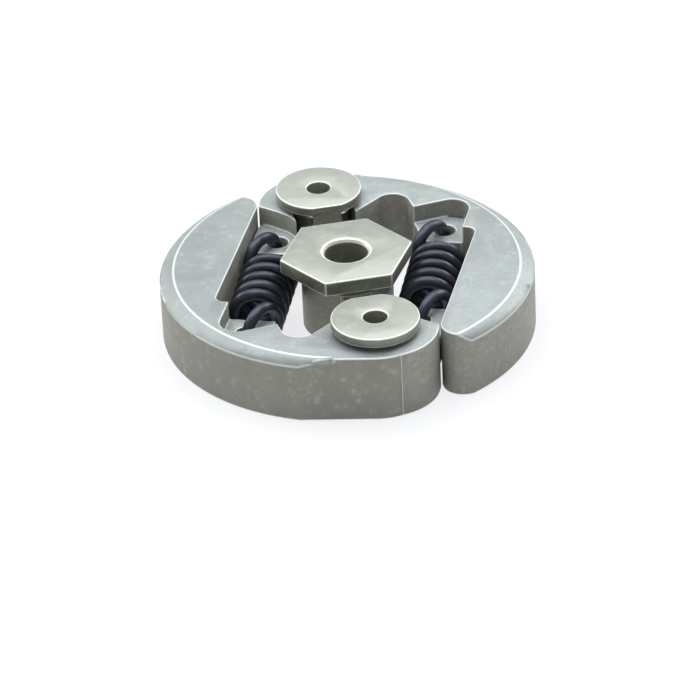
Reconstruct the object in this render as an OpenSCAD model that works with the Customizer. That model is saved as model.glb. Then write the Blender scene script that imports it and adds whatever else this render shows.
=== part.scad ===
// Centrifugal clutch of a brush cutter: a threaded carrier with two posts, two shoes that swing
// outwards on the posts, and two tension springs that pull the shoes back.
// Origin on the clutch axis in the plane it rests on, +Z up along the axis, posts on the Y axis.

/* [Carrier] */
// Distance from the clutch axis to each post
post_reach = 27.3; // [26.6:0.1:27.8]
// Radius of a post
post_r = 6.35; // [5.5:0.05:6.6]
// Radius of the head on a post
head_r = 8.95; // [8.4:0.05:9.6]
// Thickness of a head
head_t = 2; // [1.4:0.1:2.6]
// Gap between a shoe and the head over it
head_gap = 1.1; // [0.6:0.1:1.6]
// Distance from a post's centre to the flat on its head
head_flat = 8.4; // [7.4:0.1:8.8]
// Radius of the hole through a head and its post
head_hole_r = 2.5; // [1.5:0.05:3.2]
// Width of the webs between the hub and the posts
web_w = 6.3; // [4:0.1:7.5]
// How far the low part of a web ends below the hexagon
web_drop = 2.4; // [1:0.1:6]
// Width across the flats of the hexagon
hex_af = 24; // [22:0.5:25]
// Thickness of the hexagon
hex_t = 3.1; // [2.4:0.1:3.4]
// Radius of the hub below the hexagon
hub_r = 9.45; // [8.5:0.05:10]
// How far the hub ends above the resting plane
hub_lift = 0.8; // [0.2:0.1:2]
// Inner radius of the fine thread in the hub
thread_r = 4.46; // [4:0.02:5]
// Width of the chamfers at the mouths of the thread
thread_chamfer = 0.55; // [0.3:0.05:0.9]

/* [Shoes] */
// Radius of the friction faces with the shoes at rest
friction_r = 38.5; // [38.4:0.1:39.4]
// Thickness of a shoe
shoe_h = 14.2; // [13:0.1:15]
// Running gap between a shoe and the resting plane
shoe_lift = 0.2; // [0.1:0.05:0.4]
// Distance from the clutch axis to a shoe's straight inner wall
wall_off = 23.55; // [23.2:0.05:24]
// Direction of that wall, from the X axis
wall_angle = 65.75; // [65:0.25:66.5]
// Radius of the round tip
tip_r = 4.35; // [3.8:0.05:4.6]
// How far the tip's round would stand proud of the friction face that cuts it
tip_proud = 0.15; // [0.05:0.05:0.3]
// Radius of the boss round the post
boss_r = 11.1; // [10.6:0.05:11.1]
// Gap between the boss and the tip of the other shoe
tip_gap = 0.3; // [0.2:0.05:0.6]
// Angle at which the friction face ends beside the boss
friction_end = 242.9; // [241:0.1:244]
// Running clearance between a post and its socket
post_clear = 0.05; // [0.02:0.01:0.1]
// Height of the chamfer along the friction face
chamfer_h = 1.8; // [1:0.1:2.2]
// Width of that chamfer where it is narrowest
chamfer_w = 1.3; // [0.8:0.1:1.6]
// Width of that chamfer at the side of the shoe, where it is widest
chamfer_side_w = 2.9; // [2:0.1:3.2]
// Height of the chamfer along the straight stretch beside the boss
front_chamfer_h = 1.2; // [0.6:0.1:1.4]
// Distance from the post's centre line to the step that ends the chamfer
chamfer_stop = 10.3; // [9:0.1:12]
// Depth of the recesses over and under the two lugs that hold the springs
recess = 4; // [3:0.1:4.6]
// How far the pocket's wall stands in front of the straight inner wall
pocket_step = 2.95; // [2:0.05:3.4]
// Gap between the boss's lug and the inner wall of the other shoe
lug_gap = 0.45; // [0.2:0.05:0.8]

/* [Springs] */
// Distance between the two hook holes of a spring
hook_span = 36.4; // [35.8:0.1:37]
// Direction of a spring's centre line, from the X axis
spring_angle = 68.6; // [68:0.1:69.2]
// Place of a spring's middle along its centre line
spring_mid = -4.1; // [-4.6:0.1:-3.6]
// Height of a spring's centre line above the resting plane
spring_z = 8; // [7.6:0.1:8.2]
// Diameter of the spring wire
wire_d = 2.4; // [2:0.1:2.5]
// Mean radius of the coils
coil_r = 4.8; // [4.4:0.05:4.9]
// Distance from one coil to the next
coil_pitch = 3.58; // [3.2:0.02:3.7]
// Number of coils
coils = 5.5; // [3.5, 5.5]
// Gap between the coils and the straight inner wall, measured at the clutch axis
coil_gap = 0.5; // [0.3:0.05:1]
// Clearance of the wire in the hook holes
hook_clear = 1.05; // [0.6:0.05:1.2]
// How far a hook's leg reaches below the spring's centre line
leg_drop = 3.5; // [2:0.1:4.5]

/* [Hidden] */
eps = 0.01;
cut = 1;
arc_step = 6;
carrier_colour = "#84887c";
shoe_colour = "#73787a";
spring_colour = "#23262e";

// Heights
shoe_top = shoe_lift + shoe_h;
head_z = shoe_top + head_gap;
total_h = head_z + head_t;
hex_z = total_h - hex_t;
lug_z = shoe_lift + recess;
lug_t = shoe_h - 2 * recess;

// Places in plan
post = [0, -post_reach];
socket_r = post_r + post_clear;
spring_off = wall_off - coil_r - wire_d / 2 - coil_gap;
hook_hole_r = wire_d / 2 + hook_clear;

function unit(a) = [cos(a), sin(a)];
// A point by its distance from the clutch axis, n, and its place along the inner wall, t
function at_wall(n, t) = n * unit(wall_angle - 90) + t * unit(wall_angle);
// A point by its place along a spring, s, and its distance from the spring's centre line, l
function at_spring(s, l) = s * unit(spring_angle) + (l - spring_off) * unit(spring_angle - 90);
function arc(c, r, a, b) = let(n = ceil(abs(b - a) / arc_step))
    [for (i = [0:n]) c + r * unit(a + (b - a) * i / n)];
// Where two lines cross, each given by its unit normal and its distance from the origin
function crossing(m, a, k, b) = [a * k.y - b * m.y, b * m.x - a * k.x] / (m.x * k.y - m.y * k.x);

hook_a = at_spring(spring_mid - hook_span / 2, 0);
hook_b = -at_spring(spring_mid + hook_span / 2, 0);

// Tip: a round that the friction face cuts
tip_n = wall_off + tip_r;
tip_reach = friction_r - tip_r + tip_proud;
tip_c = at_wall(-tip_n, sqrt(tip_reach * tip_reach - tip_n * tip_n));
tip_from = atan2(tip_c.y, tip_c.x) + 8;

// Boss: an arc about the post, and one that swells towards the other shoe's tip
swell_c = post + [1.4, 0.7];
swell_r = norm(-tip_c - swell_c) - tip_r - tip_gap;
swell_from = -9.5;
swell_to = -84;
boss_from = -76.5;

// Straight stretch from the end of the friction face, tangent to the boss
friction_stop = friction_r * unit(friction_end);
to_post = post - friction_stop;
front_angle = atan2(to_post.y, to_post.x) - asin(boss_r / norm(to_post));

// Pocket for the front hook: a step in the inner wall, a round corner and an end wall
pocket_n = wall_off - pocket_step;
notch_t = spring_mid - hook_span / 2 + 4;
notch_r = 1.8;
pocket_r = 3.7;
pocket_tilt = 7;
pocket_up = unit(pocket_tilt + 90);
pocket_d = pocket_up * (hook_a - [0, 5.45]);
pocket_c = crossing(unit(wall_angle - 90), pocket_r - pocket_n, pocket_up, pocket_d + pocket_r);

// Scoop between the pocket and the post
scoop_c = post + [-14.6, 5];
scoop_r = 3.6;
scoop_x = scoop_c.x - scoop_r - 0.3;
scoop_corner = [scoop_x, (pocket_d - pocket_up.x * scoop_x) / pocket_up.y];

// Slot for the post, open towards the hub
lip_left = post + [-socket_r, 6.6];
lip_right = post + [socket_r, 7.3];

// Edges of the lugs across the spring
lug_a_s = spring_mid - hook_span / 2 + 4.9;
lug_b_s = spring_mid + hook_span / 2 - 4.7;
lug_side = 5.15;

function notch_corner() = arc(at_wall(notch_r - wall_off, notch_t + notch_r), notch_r,
                              wall_angle + 90, wall_angle + 180);
function pocket_corner() = arc(pocket_c, pocket_r, wall_angle + 90, pocket_tilt + 270);

// Outline at full thickness, clockwise from the tip; it passes outside the friction face
function shoe_outline() = concat(
    arc(tip_c, tip_r, tip_from, wall_angle - 90),
    notch_corner(),
    [at_wall(-pocket_n, notch_t)],
    pocket_corner(),
    [scoop_corner],
    arc(scoop_c, scoop_r, 180, 315),
    [lip_left + [-2.9, -2.1], lip_left, lip_right, lip_right + [1.2, -2.9], lip_right + [3.2, -5.3]],
    arc(swell_c, swell_r, swell_from, swell_to),
    arc(post, boss_r, boss_from, front_angle - 90),
    [friction_stop - boss_r * unit(front_angle), 1.6 * friction_r * unit(180),
     1.3 * friction_r * unit(tip_from)]);

// Lug in the pocket, at half thickness
function pocket_lug() = [
    at_spring(lug_a_s, -lug_side), at_spring(lug_a_s, lug_side), hook_a + [5.4, 0.1],
    scoop_corner + [0, -0.5], scoop_c + [-scoop_r - 2, -1], at_wall(-pocket_n - 3, notch_t - 10)];

// Lug on the boss, at half thickness, beside the inner wall of the other shoe
function boss_lug() = let(side = wall_off - lug_gap) [
    lip_right, -at_spring(lug_b_s, lug_side),
    crossing(unit(spring_angle), -lug_b_s, unit(wall_angle - 90), side),
    at_wall(side, -tip_c * unit(wall_angle)), post + [socket_r + 1.6, -1], post + [socket_r, 3]];

// What stays inside the chamfer: two cones, one of them moved sideways to widen the chamfer there
module chamfer_form() {
    side_move = chamfer_side_w - chamfer_w + 0.3;
    slope = chamfer_side_w / chamfer_h;
    top_r = friction_r - chamfer_side_w + side_move;
    intersection() {
        rotate_extrude() polygon([
            [0, 0], [friction_r + cut, 0], [friction_r + cut, shoe_h - chamfer_h - chamfer_h * cut / chamfer_w],
            [friction_r - chamfer_w, shoe_h], [0, shoe_h]]);
        translate([side_move, 0, 0]) rotate_extrude() polygon([
            [0, 0], [top_r + 3 * slope, 0], [top_r + 3 * slope, shoe_h - 3], [top_r, shoe_h], [0, shoe_h]]);
    }
}

// Wedge that takes off the top edge of the straight stretch beside the boss
module front_wedge() {
    w = front_chamfer_h / 2;
    far = front_chamfer_h * (1 + cut / w);
    translate([friction_stop.x, friction_stop.y, shoe_h]) rotate([0, 0, front_angle]) rotate([90, 0, 90])
        linear_extrude(height = -chamfer_stop - friction_stop.x)
            polygon([[-cut, -far], [2 * w, front_chamfer_h], [-cut, front_chamfer_h]]);
}

module lug(outline) {
    translate([0, 0, recess]) linear_extrude(height = lug_t) polygon(outline);
}

module shoe() {
    color(shoe_colour) translate([0, 0, shoe_lift]) difference() {
        union() {
            difference() {
                intersection() {
                    linear_extrude(height = shoe_h) polygon(shoe_outline());
                    cylinder(r = friction_r, h = shoe_h);
                }
                difference() {
                    translate([-2 * friction_r, -2 * friction_r, shoe_h / 2])
                        cube([2 * friction_r - chamfer_stop, 4 * friction_r, shoe_h]);
                    chamfer_form();
                }
                front_wedge();
            }
            lug(pocket_lug());
            lug(boss_lug());
        }
        translate([0, -post_reach, -cut]) {
            cylinder(r = socket_r, h = shoe_h + 2 * cut);
            translate([-socket_r, 0, 0]) cube([2 * socket_r, post_reach, shoe_h + 2 * cut]);
        }
        for (p = [hook_a, hook_b])
            translate([p.x, p.y, -cut]) cylinder(r = hook_hole_r, h = shoe_h + 2 * cut);
    }
}

// One post with its head, the pillar beside it and the web that joins it to the hub
module arm() {
    root_y = sqrt(hub_r * hub_r - web_w * web_w / 4);
    translate([0, -post_reach, 0]) {
        cylinder(r = post_r, h = head_z + eps);
        intersection() {
            translate([0, 0, head_z]) cylinder(r = head_r, h = head_t);
            translate([-head_r, -head_r - cut, 0]) cube([2 * head_r, head_r + cut + head_flat, total_h]);
        }
        translate([-web_w / 2, 0, 0]) cube([web_w, head_flat, head_z + eps]);
        translate([-web_w / 2, 0, 0]) cube([web_w, post_reach - root_y, hex_z - web_drop]);
    }
}

module thread_bore() {
    translate([0, 0, hub_lift - cut]) cylinder(r = thread_r, h = total_h);
    translate([0, 0, total_h - thread_chamfer])
        cylinder(r1 = thread_r, r2 = thread_r + thread_chamfer + eps, h = thread_chamfer + eps);
    translate([0, 0, hub_lift - eps])
        cylinder(r1 = thread_r + thread_chamfer + eps, r2 = thread_r, h = thread_chamfer + eps);
}

module carrier() {
    color(carrier_colour) difference() {
        union() {
            translate([0, 0, hub_lift]) cylinder(r = hub_r, h = hex_z - hub_lift + eps);
            translate([0, 0, hex_z]) cylinder(d = hex_af / cos(30), h = hex_t, $fn = 6);
            for (turn = [0, 180]) rotate([0, 0, turn]) arm();
        }
        thread_bore();
        for (side = [-1, 1])
            translate([0, side * post_reach, -cut]) cylinder(r = head_hole_r, h = total_h + 2 * cut);
    }
}

// Centre line of the wire in the spring's own frame: x along the spring, y towards the shoe's wall
coil_steps = 18 * coils;
coil_half = 180 * coils;
hook_rise = 0.5;
arch_steps = 10;
wire_sides = 10;

function coil_point(t) = [-coil_pitch * t / 360, coil_r * sin(t), coil_r * cos(t)];
function hook_points() =
    let(limb = coil_point(coil_half), foot = [-hook_span / 2, 0, 0])
    let(mid = (limb + foot) / 2, half = (foot - limb) / 2, r = norm(half), lift = [0, 0, hook_rise])
    concat([for (i = [0:arch_steps])
                mid - half * cos(180 * i / arch_steps) + [0, 0, r * sin(180 * i / arch_steps)] + lift],
           [foot, foot - [0, 0, leg_drop]]);
function wire_points() = let(hook = hook_points(), last = len(hook) - 1) concat(
    [for (i = [last:-1:0]) [-hook[i].x, -hook[i].y, hook[i].z]],
    [for (i = [0:coil_steps]) coil_point(coil_half * (2 * i / coil_steps - 1))],
    hook);
function wire_ring(p, i) =
    let(step = p[min(i + 1, len(p) - 1)] - p[max(i - 1, 0)], along = step / norm(step))
    let(out = cross(along, [1, 0, 0]), b = out / norm(out), c = cross(along, b))
    [for (k = [0:wire_sides - 1])
        p[i] + wire_d / 2 * (cos(360 * k / wire_sides) * b + sin(360 * k / wire_sides) * c)];

module spring() {
    path = wire_points();
    last = len(path) - 1;
    n = wire_sides;
    rings = [for (i = [0:last]) wire_ring(path, i)];
    color(spring_colour) translate([at_spring(spring_mid, 0).x, at_spring(spring_mid, 0).y, spring_z])
        rotate([0, 0, spring_angle]) polyhedron(
            points = [for (ring = rings) for (p = ring) p],
            faces = concat(
                [[for (k = [0:n - 1]) k]],
                [for (i = [0:last - 1]) for (k = [0:n - 1])
                    [i * n + k, (i + 1) * n + k, (i + 1) * n + (k + 1) % n, i * n + (k + 1) % n]],
                [[for (k = [n - 1:-1:0]) last * n + k]]),
            convexity = 10);
}

module shoe_front() shoe();
module shoe_rear() rotate([0, 0, 180]) shoe();
module spring_left() spring();
module spring_right() rotate([0, 0, 180]) spring();

carrier();
shoe_front();
shoe_rear();
spring_left();
spring_right();
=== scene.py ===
# %% [markdown]
# A two-shoe centrifugal clutch, dressed for a studio picture. The solids come packed from the CAD
# model, in metres, and stay where they are. This script gives them rounded edges, smooth springs,
# and finishes that follow how each surface was made, with painted light on level faces and edges and
# painted shade on upright ones.

# %% Load the imported clutch
import math

import bmesh
import bpy
from mathutils import Matrix, Vector


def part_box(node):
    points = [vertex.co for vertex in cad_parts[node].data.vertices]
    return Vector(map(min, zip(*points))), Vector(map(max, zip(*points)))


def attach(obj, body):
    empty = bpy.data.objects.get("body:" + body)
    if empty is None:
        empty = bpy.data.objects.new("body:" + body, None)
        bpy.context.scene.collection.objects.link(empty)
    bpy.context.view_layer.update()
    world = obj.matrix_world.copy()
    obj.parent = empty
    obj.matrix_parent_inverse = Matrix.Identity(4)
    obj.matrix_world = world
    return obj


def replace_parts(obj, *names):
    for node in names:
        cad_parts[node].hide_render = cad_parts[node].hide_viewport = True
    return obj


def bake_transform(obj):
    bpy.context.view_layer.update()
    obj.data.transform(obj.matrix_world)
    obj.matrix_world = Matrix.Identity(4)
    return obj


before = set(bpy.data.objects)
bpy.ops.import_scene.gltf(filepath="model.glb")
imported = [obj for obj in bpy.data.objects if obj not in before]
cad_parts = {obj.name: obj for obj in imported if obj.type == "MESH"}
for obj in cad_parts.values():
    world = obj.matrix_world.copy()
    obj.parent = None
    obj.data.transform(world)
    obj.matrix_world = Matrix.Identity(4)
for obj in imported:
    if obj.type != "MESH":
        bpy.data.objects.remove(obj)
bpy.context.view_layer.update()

# %% [markdown]
# Sizes are easier to read in millimetres, so one small function turns them to metres. The total
# height is the top of the carrier's own box, since its hexagon and heads stand highest.

# %% Sizes in millimetres
def mm(value):
    return value / 1000


total_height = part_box("carrier")[1].z
print(f"total height {total_height * 1000:.2f} mm")

# %% [markdown]
# The camera stands where the photographer's did: a long lens, a little left of the posts' line, 31
# degrees up, and rolled slightly. It aims past the middle of the hexagon's top, and the two offsets
# say by how much. A camera's own axes are its right, its up and the way back from its view.

# %% Camera at the photograph's angle
LENS = 239.5
SENSOR = 36
ELEVATION = math.radians(31.185)
AZIMUTH = math.radians(10.813)
ROLL = math.radians(-2.706)
DISTANCE = mm(925.54)
SHIFT_RIGHT = mm(1.243)
SHIFT_UP = mm(18.327)
NEAREST = mm(10)
FARTHEST = mm(20000)


def place_camera():
    forward = Vector((math.sin(AZIMUTH) * math.cos(ELEVATION),
                      math.cos(AZIMUTH) * math.cos(ELEVATION), -math.sin(ELEVATION)))
    level = Vector((math.cos(AZIMUTH), -math.sin(AZIMUTH), 0))
    upright = level.cross(forward)
    right = math.cos(ROLL) * level + math.sin(ROLL) * upright
    up = math.cos(ROLL) * upright - math.sin(ROLL) * level
    hexagon_top = Vector((0, 0, total_height))
    place = hexagon_top - SHIFT_RIGHT * right - SHIFT_UP * up - DISTANCE * forward
    lens = bpy.data.cameras.new("camera")
    lens.lens = LENS
    lens.sensor_width = SENSOR
    lens.clip_start = NEAREST
    lens.clip_end = FARTHEST
    camera = bpy.data.objects.new("camera", lens)
    bpy.context.scene.collection.objects.link(camera)
    own_axes = Matrix((right, up, -forward)).transposed().to_4x4()
    camera.matrix_world = Matrix.Translation(place) @ own_axes
    bpy.context.scene.camera = camera
    return camera


camera = place_camera()
print("camera at", [round(v, 3) for v in camera.location])

# %% [markdown]
# Every finish is a small node tree. One function adds a node with its settings and its links, and
# one turns an sRGB hex colour, as a paint chart gives it, to the linear values that a shader uses.
# A socket is named by its label, or by i and its number where two sockets share a label.

# %% Helpers for materials
def colour(text):
    def linear(c):
        return c / 12.92 if c <= 0.04045 else ((c + 0.055) / 1.055) ** 2.4
    return tuple(linear(int(text[i:i + 2], 16) / 255) for i in (1, 3, 5)) + (1.0,)


def add_node(tree, kind, settings=(), **inputs):
    node = tree.nodes.new(kind)
    for name, value in dict(settings).items():
        setattr(node, name, value)
    for name, value in inputs.items():
        numbered = name[0] == "i" and name[1:].isdigit()
        socket = node.inputs[int(name[1:]) if numbered else name.replace("_", " ")]
        if isinstance(value, bpy.types.NodeSocket):
            tree.links.new(value, socket)
        else:
            socket.default_value = value
    return node


def new_material(name):
    material = bpy.data.materials.new(name)
    material.use_nodes = True
    tree = material.node_tree
    tree.nodes.clear()
    return material, tree, tree.nodes.new("ShaderNodeOutputMaterial")


def object_place(tree):
    """Coordinates in the piece's own metres, which move with it."""
    return tree.nodes.new("ShaderNodeTexCoord").outputs["Object"]


def noise(tree, place, size_mm, detail, roughness):
    """A noise whose blobs are about size_mm across."""
    return add_node(tree, "ShaderNodeTexNoise", Vector=place, Scale=1000 / size_mm / 2,
                    Detail=detail, Roughness=roughness).outputs["Fac"]


def ramp(tree, fac, low, high, from_value=0.0, to_value=1.0):
    """A smooth step of fac between low and high."""
    return add_node(tree, "ShaderNodeMapRange", {"interpolation_type": "SMOOTHSTEP"},
                    i0=fac, i1=low, i2=high, i3=from_value, i4=to_value).outputs[0]


def mix(tree, fac, a, b):
    """Colour a turning to colour b as fac goes from 0 to 1."""
    return add_node(tree, "ShaderNodeMix", {"data_type": "RGBA"}, i0=fac, i6=a, i7=b).outputs[2]


# %% [markdown]
# The steel parts are pressed and sintered, or machined. Both are grey metals whose surface
# scatters: a sintered face shows its powder grain, a machined one is finer and a little brighter.
# Rounded edges are painted a lighter grey, a painted highlight along each edge. The mesh carries that
# as an attribute set on the bevelled faces.

# %% Steel finishes
CLOUD_MM = 14
SPECK_TO_GRAIN = 3.2
ROUGHNESS_SPREAD = 0.06


def steel(name, base, dark, light, edge_highlight_tone, grain_mm, metallic, roughness, bump_mm, spread):
    material, tree, output = new_material(name)
    place = object_place(tree)
    cloud = noise(tree, place, CLOUD_MM, 4, 0.6)
    grain = noise(tree, place, grain_mm, 2, 0.6)
    speck = noise(tree, place, grain_mm * SPECK_TO_GRAIN, 3, 0.7)
    tone = mix(tree, ramp(tree, cloud, 0.35, 0.65), colour(dark), colour(base))
    tone = mix(tree, ramp(tree, speck, 0.5, 0.72, 0, spread), tone, colour(light))
    tone = mix(tree, ramp(tree, grain, 0.3, 0.6, spread, 0), tone, colour(dark))
    edge_highlight = add_node(tree, "ShaderNodeAttribute", {"attribute_name": "edge_highlight"}).outputs["Fac"]
    # Painted highlight: the bevelled edges are painted a lighter grey.
    tone = mix(tree, edge_highlight, tone, colour(edge_highlight_tone))
    rough = ramp(tree, speck, 0.3, 0.7, roughness - ROUGHNESS_SPREAD, roughness + ROUGHNESS_SPREAD)
    height = add_node(tree, "ShaderNodeBump", Strength=1.0, Distance=mm(bump_mm),
                      Height=grain).outputs[0]
    shader = add_node(tree, "ShaderNodeBsdfPrincipled", Base_Color=tone, Metallic=metallic,
                      Roughness=rough, Normal=height)
    tree.links.new(shader.outputs[0], output.inputs[0])
    return material


# The shoes' flat faces: a cool, matt grey with a fine powder grain, its light, cool tone partly painted
# light from above
sintered_top_lit = steel("sintered_steel_lit_top", "#959d9c", "#868e8d", "#a9b1b0", "#c3cac8",
                      grain_mm=0.35, metallic=0.35, roughness=0.5, bump_mm=0.015, spread=0.5)
# Their upright walls: rougher, with coarser specks, and warmer and a little darker, partly their own
# finish and partly painted shade
sintered_wall_shaded = steel("sintered_steel_shaded_wall", "#8f9088", "#7f8078", "#a5a69c", "#b5b8b0",
                      grain_mm=0.4, metallic=0.25, roughness=0.6, bump_mm=0.03, spread=0.7)
# The hexagon's and the heads' tops: a slightly green grey with a finer grain, its lightness partly
# painted light from above
machined_top_lit = steel("machined_steel_lit_top", "#a2a79f", "#959a90", "#b2b6ab", "#d5dad2",
                      grain_mm=0.3, metallic=0.4, roughness=0.42, bump_mm=0.01, spread=0.4)
# The carrier's upright sides: an olive grey with more shine, its darker tone partly painted shade
machined_side_shaded = steel("machined_steel_shaded_side", "#8a8b7f", "#737468", "#9c9d90", "#c9cdc4",
                      grain_mm=0.4, metallic=0.55, roughness=0.4, bump_mm=0.01, spread=0.5)
print("steel finishes:", [m.name for m in (sintered_top_lit, sintered_wall_shaded, machined_top_lit, machined_side_shaded)])

# %% [markdown]
# Spring wire is drawn, so its skin is smooth, and it was heated in oil until it turned blue-black.
# The dark base gives the deep colour, and the smooth skin the sharp highlight along each coil.

# %% Blued spring wire
def blued_wire():
    material, tree, output = new_material("blued_spring_wire")
    cloud = noise(tree, object_place(tree), 3, 3, 0.6)
    tone = mix(tree, ramp(tree, cloud, 0.35, 0.65), colour("#2a2d36"), colour("#3a3e49"))
    rough = ramp(tree, cloud, 0.3, 0.7, 0.28, 0.4)
    shader = add_node(tree, "ShaderNodeBsdfPrincipled", Base_Color=tone, Metallic=0.6,
                      Roughness=rough)
    tree.links.new(shader.outputs[0], output.inputs[0])
    return material


wire_finish = blued_wire()
print("wire finish:", wire_finish.name)

# %% [markdown]
# A CAD node is a shell of loose triangles with knife-sharp edges. A real part has none: its edges
# were tumbled or ground. So each steel piece is a copy whose triangles are joined, whose flat faces
# are made whole again, and whose sharp edges get a narrow round.

# %% Rounded copies of the steel pieces
EDGE_MM = 0.25
JOIN_MM = 0.002
FLAT_ANGLE = math.radians(0.4)
SHARP_ANGLE = math.radians(28)
SHADE_ANGLE = math.radians(32)
LEVEL_SLOPE = 0.35


def joined_copy(node):
    bm = bmesh.new()
    bm.from_mesh(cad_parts[node].data)
    bmesh.ops.remove_doubles(bm, verts=bm.verts, dist=mm(JOIN_MM))
    bmesh.ops.dissolve_limit(bm, angle_limit=FLAT_ANGLE, verts=bm.verts, edges=bm.edges)
    bmesh.ops.dissolve_degenerate(bm, dist=mm(JOIN_MM), edges=bm.edges)
    return bm


def round_edges(bm):
    """Rounds the sharp edges and marks the corners of the new faces for a painted highlight."""
    edge_highlight = bm.loops.layers.float.new("edge_highlight")
    sharp = [e for e in bm.edges if len(e.link_faces) == 2 and e.calc_face_angle() > SHARP_ANGLE]
    made = bmesh.ops.bevel(bm, geom=sharp, offset=mm(EDGE_MM), offset_type="OFFSET", segments=2,
                           profile=0.5, affect="EDGES", clamp_overlap=False, material=-1)
    # The new edge faces are marked for the painted highlight.
    for face in made["faces"]:
        for loop in face.loops:
            loop[edge_highlight] = 1.0
    return len(sharp)


def level_or_upright(face):
    """The place of a face's finish in its piece's list: 0 for a level face, 1 for an upright one. The
    level copy is painted lighter and the upright copy darker, as painted light and shade.
    """
    return 0 if abs(face.normal.z) > LEVEL_SLOPE else 1


def finish_piece(bm, name, body, materials):
    """Turns the bmesh into a piece, which rides on its body where one is given."""
    for face in bm.faces:
        face.smooth = True
        # Level faces take the finish painted lighter, as light from above; upright faces take the one
        # painted darker, as shade.
        face.material_index = level_or_upright(face) if len(materials) > 1 else 0
    mesh = bpy.data.meshes.new(name)
    bm.to_mesh(mesh)
    bm.free()
    mesh.set_sharp_from_angle(angle=SHADE_ANGLE)
    for material in materials:
        mesh.materials.append(material)
    piece = bpy.data.objects.new(name, mesh)
    bpy.context.scene.collection.objects.link(piece)
    if body:
        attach(piece, body)
    print(f"{name}: {len(mesh.polygons)} faces")
    return piece


# %% [markdown]
# Level faces were pressed or machined flat, and
# upright ones came from the die or the lathe, so each piece has one finish for either kind. The
# level finish is also painted lighter, as light from above, and the upright one darker, as painted
# shade.

# %% Shoes and carrier
for node, body, slot, finishes in (
        ("shoe_front", "front_shoe", "sintered_steel", [sintered_top_lit, sintered_wall_shaded]),
        ("shoe_rear", "rear_shoe", "sintered_steel", [sintered_top_lit, sintered_wall_shaded]),
        ("carrier", "carrier", "carrier_steel", [machined_top_lit, machined_side_shaded])):
    solid = joined_copy(node)
    print(node, "sharp edges:", round_edges(solid))
    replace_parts(finish_piece(solid, node + "_steel", body, finishes), node)

# %% [markdown]
# A tension spring is one wire: close coils, and at each end a hook that arches over to its hole and
# drops through. These are the sizes of the spring in the solids, so the smooth one lies in its place.

# %% Spring sizes
WIRE = mm(2.4)
COIL_RADIUS = mm(4.8)
PITCH = mm(3.58)
COILS = 5.5
HOOK_SPAN = mm(36.4)
HOOK_RISE = mm(0.5)
LEG_DROP = mm(3.5)
SPRING_ANGLE = math.radians(68.6)
SPRING_SIDE = mm(17.05)
SPRING_MIDDLE = mm(-4.1)
SPRING_HEIGHT = mm(8)
TURN_STEPS = 64
WIRE_SIDES = 24
WELD = mm(0.02)
print(f"spring: {COILS} coils over {COILS * PITCH * 1000:.1f} mm")

# %% [markdown]
# A coil is a round section swept round the spring's axis while it moves along it, which is what
# spin does with a step. The hook is half a turn about an axis of its own, and then straight down.
# One half is made, from the middle outwards. The other half is its copy, turned round.

# %% Coiled wire with its hooks
def end_ring(bm, point, along):
    """A ring of wire about a point, across the way the wire runs."""
    made = bmesh.ops.create_circle(bm, segments=WIRE_SIDES, radius=WIRE / 2)
    turn = Vector((0, 0, 1)).rotation_difference(along).to_matrix().to_4x4()
    bmesh.ops.transform(bm, matrix=Matrix.Translation(point) @ turn, verts=made["verts"])
    return made["verts"]


def new_verts(made):
    return [g for g in made if isinstance(g, bmesh.types.BMVert)]


def ring_edges(verts):
    inside = set(verts)
    return list({e for v in verts for e in v.link_edges if e.other_vert(v) in inside})


def spin(bm, verts, centre, axis, angle, steps, move=(0, 0, 0)):
    made = bmesh.ops.spin(bm, geom=list(verts) + ring_edges(verts), cent=centre, axis=axis,
                          angle=angle, steps=steps, dvec=move, use_duplicate=False)
    return new_verts(made["geom_last"])


def extrude(bm, verts, move):
    fresh = new_verts(bmesh.ops.extrude_edge_only(bm, edges=ring_edges(verts))["geom"])
    bmesh.ops.translate(bm, verts=fresh, vec=move)
    return fresh


def half_spring():
    """From the middle of the spring to the tip of one leg, in the spring's own frame."""
    bm = bmesh.new()
    turns = COILS / 2
    steps = round(turns * TURN_STEPS)
    along = Vector((-PITCH / math.tau, COIL_RADIUS, 0)).normalized()
    ring = end_ring(bm, Vector((0, 0, COIL_RADIUS)), along)
    ring = spin(bm, ring, (0, 0, 0), (-1, 0, 0), turns * math.tau, steps,
                (-turns * PITCH / steps, 0, 0))
    ring = extrude(bm, ring, (0, 0, HOOK_RISE))
    limb = Vector((-turns * PITCH, -COIL_RADIUS, HOOK_RISE))
    foot = Vector((-HOOK_SPAN / 2, 0, HOOK_RISE))
    across = (foot - limb).cross(Vector((0, 0, 1))).normalized()
    ring = spin(bm, ring, (limb + foot) / 2, across, -math.pi, TURN_STEPS // 2)
    ring = extrude(bm, ring, (0, 0, -HOOK_RISE - LEG_DROP))
    bmesh.ops.contextual_create(bm, geom=ring_edges(ring))
    return bm


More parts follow.
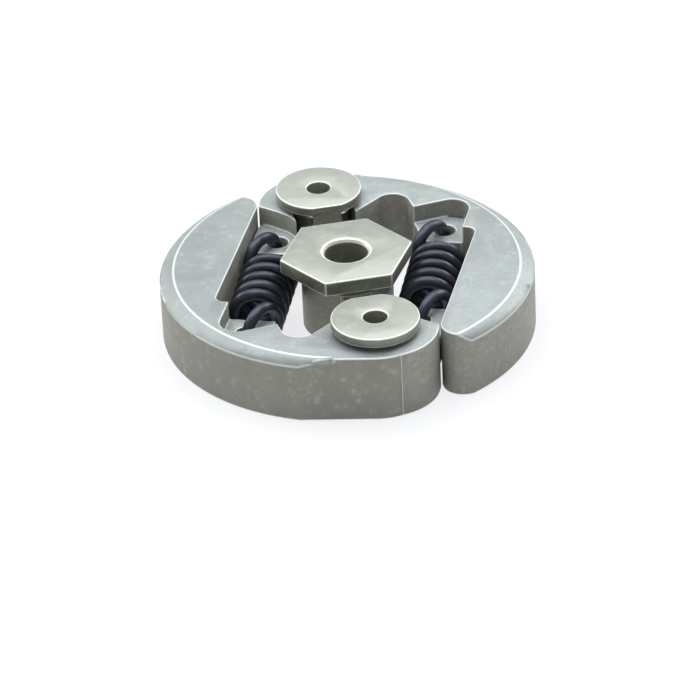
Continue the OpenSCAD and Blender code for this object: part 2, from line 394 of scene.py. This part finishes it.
def make_spring(name, node, turn):
    bm = half_spring()
    copy = bmesh.ops.duplicate(bm, geom=bm.verts[:] + bm.edges[:] + bm.faces[:])
    bmesh.ops.rotate(bm, verts=new_verts(copy["geom"]), cent=(0, 0, 0),
                     matrix=Matrix.Rotation(math.pi, 3, "Z"))
    bmesh.ops.remove_doubles(bm, verts=bm.verts, dist=WELD)
    foot = SPRING_MIDDLE * Vector((math.cos(SPRING_ANGLE), math.sin(SPRING_ANGLE), 0))
    side = SPRING_SIDE * Vector((-math.sin(SPRING_ANGLE), math.cos(SPRING_ANGLE), 0))
    middle = foot + side + Vector((0, 0, SPRING_HEIGHT))
    place = (Matrix.Rotation(turn, 4, "Z") @ Matrix.Translation(middle)
             @ Matrix.Rotation(SPRING_ANGLE, 4, "Z"))
    bmesh.ops.transform(bm, matrix=place, verts=bm.verts)
    bmesh.ops.recalc_face_normals(bm, faces=bm.faces)
    piece = finish_piece(bm, name, None, [wire_finish])
    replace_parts(piece, node)
    return piece


# %% [markdown]
# A spring stretches when a shoe swings out. Here each spring is one fixed piece, turned to its side
# of the clutch with its placing baked into its points; it rides on neither body.

# %% Springs in their places
for name, node, body, turn in (("left_spring_wire", "spring_left", "front_shoe", 0),
                               ("right_spring_wire", "spring_right", "rear_shoe", math.pi)):
    spring = make_spring(name, node, turn)
    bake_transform(spring)

# %% [markdown]
# The clutch lies on a white table in a light tent. A large lamp hangs overhead, two more stand
# behind, and the table throws light back at the outer walls. The camera and reflections see the
# table mostly as plain white, and the rest of it keeps a soft shadow.

# %% Floor, lights and tent
FLOOR_SIZE = 8
GLOW_SHARE = 0.8
TENT_LIGHT = 0.45


def white_paper():
    material, tree, output = new_material("white_paper")
    ray = add_node(tree, "ShaderNodeLightPath").outputs
    glossy = add_node(tree, "ShaderNodeMath", {"operation": "MAXIMUM"},
                      i0=ray["Is Camera Ray"], i1=ray["Is Glossy Ray"]).outputs[0]
    direct = add_node(tree, "ShaderNodeMath", {"operation": "MAXIMUM"},
                      i0=glossy, i1=ray["Is Transmission Ray"]).outputs[0]
    amount = add_node(tree, "ShaderNodeMath", {"operation": "MULTIPLY"},
                      i0=direct, i1=GLOW_SHARE).outputs[0]
    matt = add_node(tree, "ShaderNodeBsdfDiffuse", Color=colour("#e6e6e6")).outputs[0]
    glow = add_node(tree, "ShaderNodeEmission", Color=colour("#fbfcfe"), Strength=1.0).outputs[0]
    both = add_node(tree, "ShaderNodeMixShader", i0=amount, i1=matt, i2=glow).outputs[0]
    tree.links.new(both, output.inputs[0])
    return material


def lay_floor():
    bm = bmesh.new()
    bmesh.ops.create_grid(bm, x_segments=1, y_segments=1, size=FLOOR_SIZE / 2)
    mesh = bpy.data.meshes.new("floor")
    bm.to_mesh(mesh)
    bm.free()
    mesh.materials.append(white_paper())
    floor = bpy.data.objects.new("floor", mesh)
    bpy.context.scene.collection.objects.link(floor)


def add_lamp(name, place, size, power):
    """A square lamp that aims at the clutch."""
    lamp = bpy.data.lights.new(name, "AREA")
    lamp.shape = "RECTANGLE"
    lamp.size = size
    lamp.size_y = size
    lamp.energy = power
    holder = bpy.data.objects.new(name, lamp)
    bpy.context.scene.collection.objects.link(holder)
    holder.location = place
    holder.rotation_euler = (-Vector(place)).to_track_quat("-Z", "Y").to_euler()


def hang_tent():
    world = bpy.data.worlds.new("light_tent")
    bpy.context.scene.world = world
    world.use_nodes = True
    tree = world.node_tree
    tree.nodes.clear()
    ray = add_node(tree, "ShaderNodeLightPath").outputs
    strength = add_node(tree, "ShaderNodeMapRange", i0=ray["Is Camera Ray"], i3=TENT_LIGHT,
                        i4=1.0).outputs[0]
    sky = add_node(tree, "ShaderNodeBackground", Color=colour("#fbfcff"), Strength=strength)
    tree.links.new(sky.outputs[0], tree.nodes.new("ShaderNodeOutputWorld").inputs[0])


lay_floor()
add_lamp("overhead", (0, 0.15, 0.75), size=0.9, power=9)
add_lamp("back_left", (-0.7, 0.6, 0.5), size=0.6, power=5)
add_lamp("back_right", (0.8, 0.5, 0.5), size=0.6, power=5)
hang_tent()
bpy.context.scene.view_settings.view_transform = "Standard"
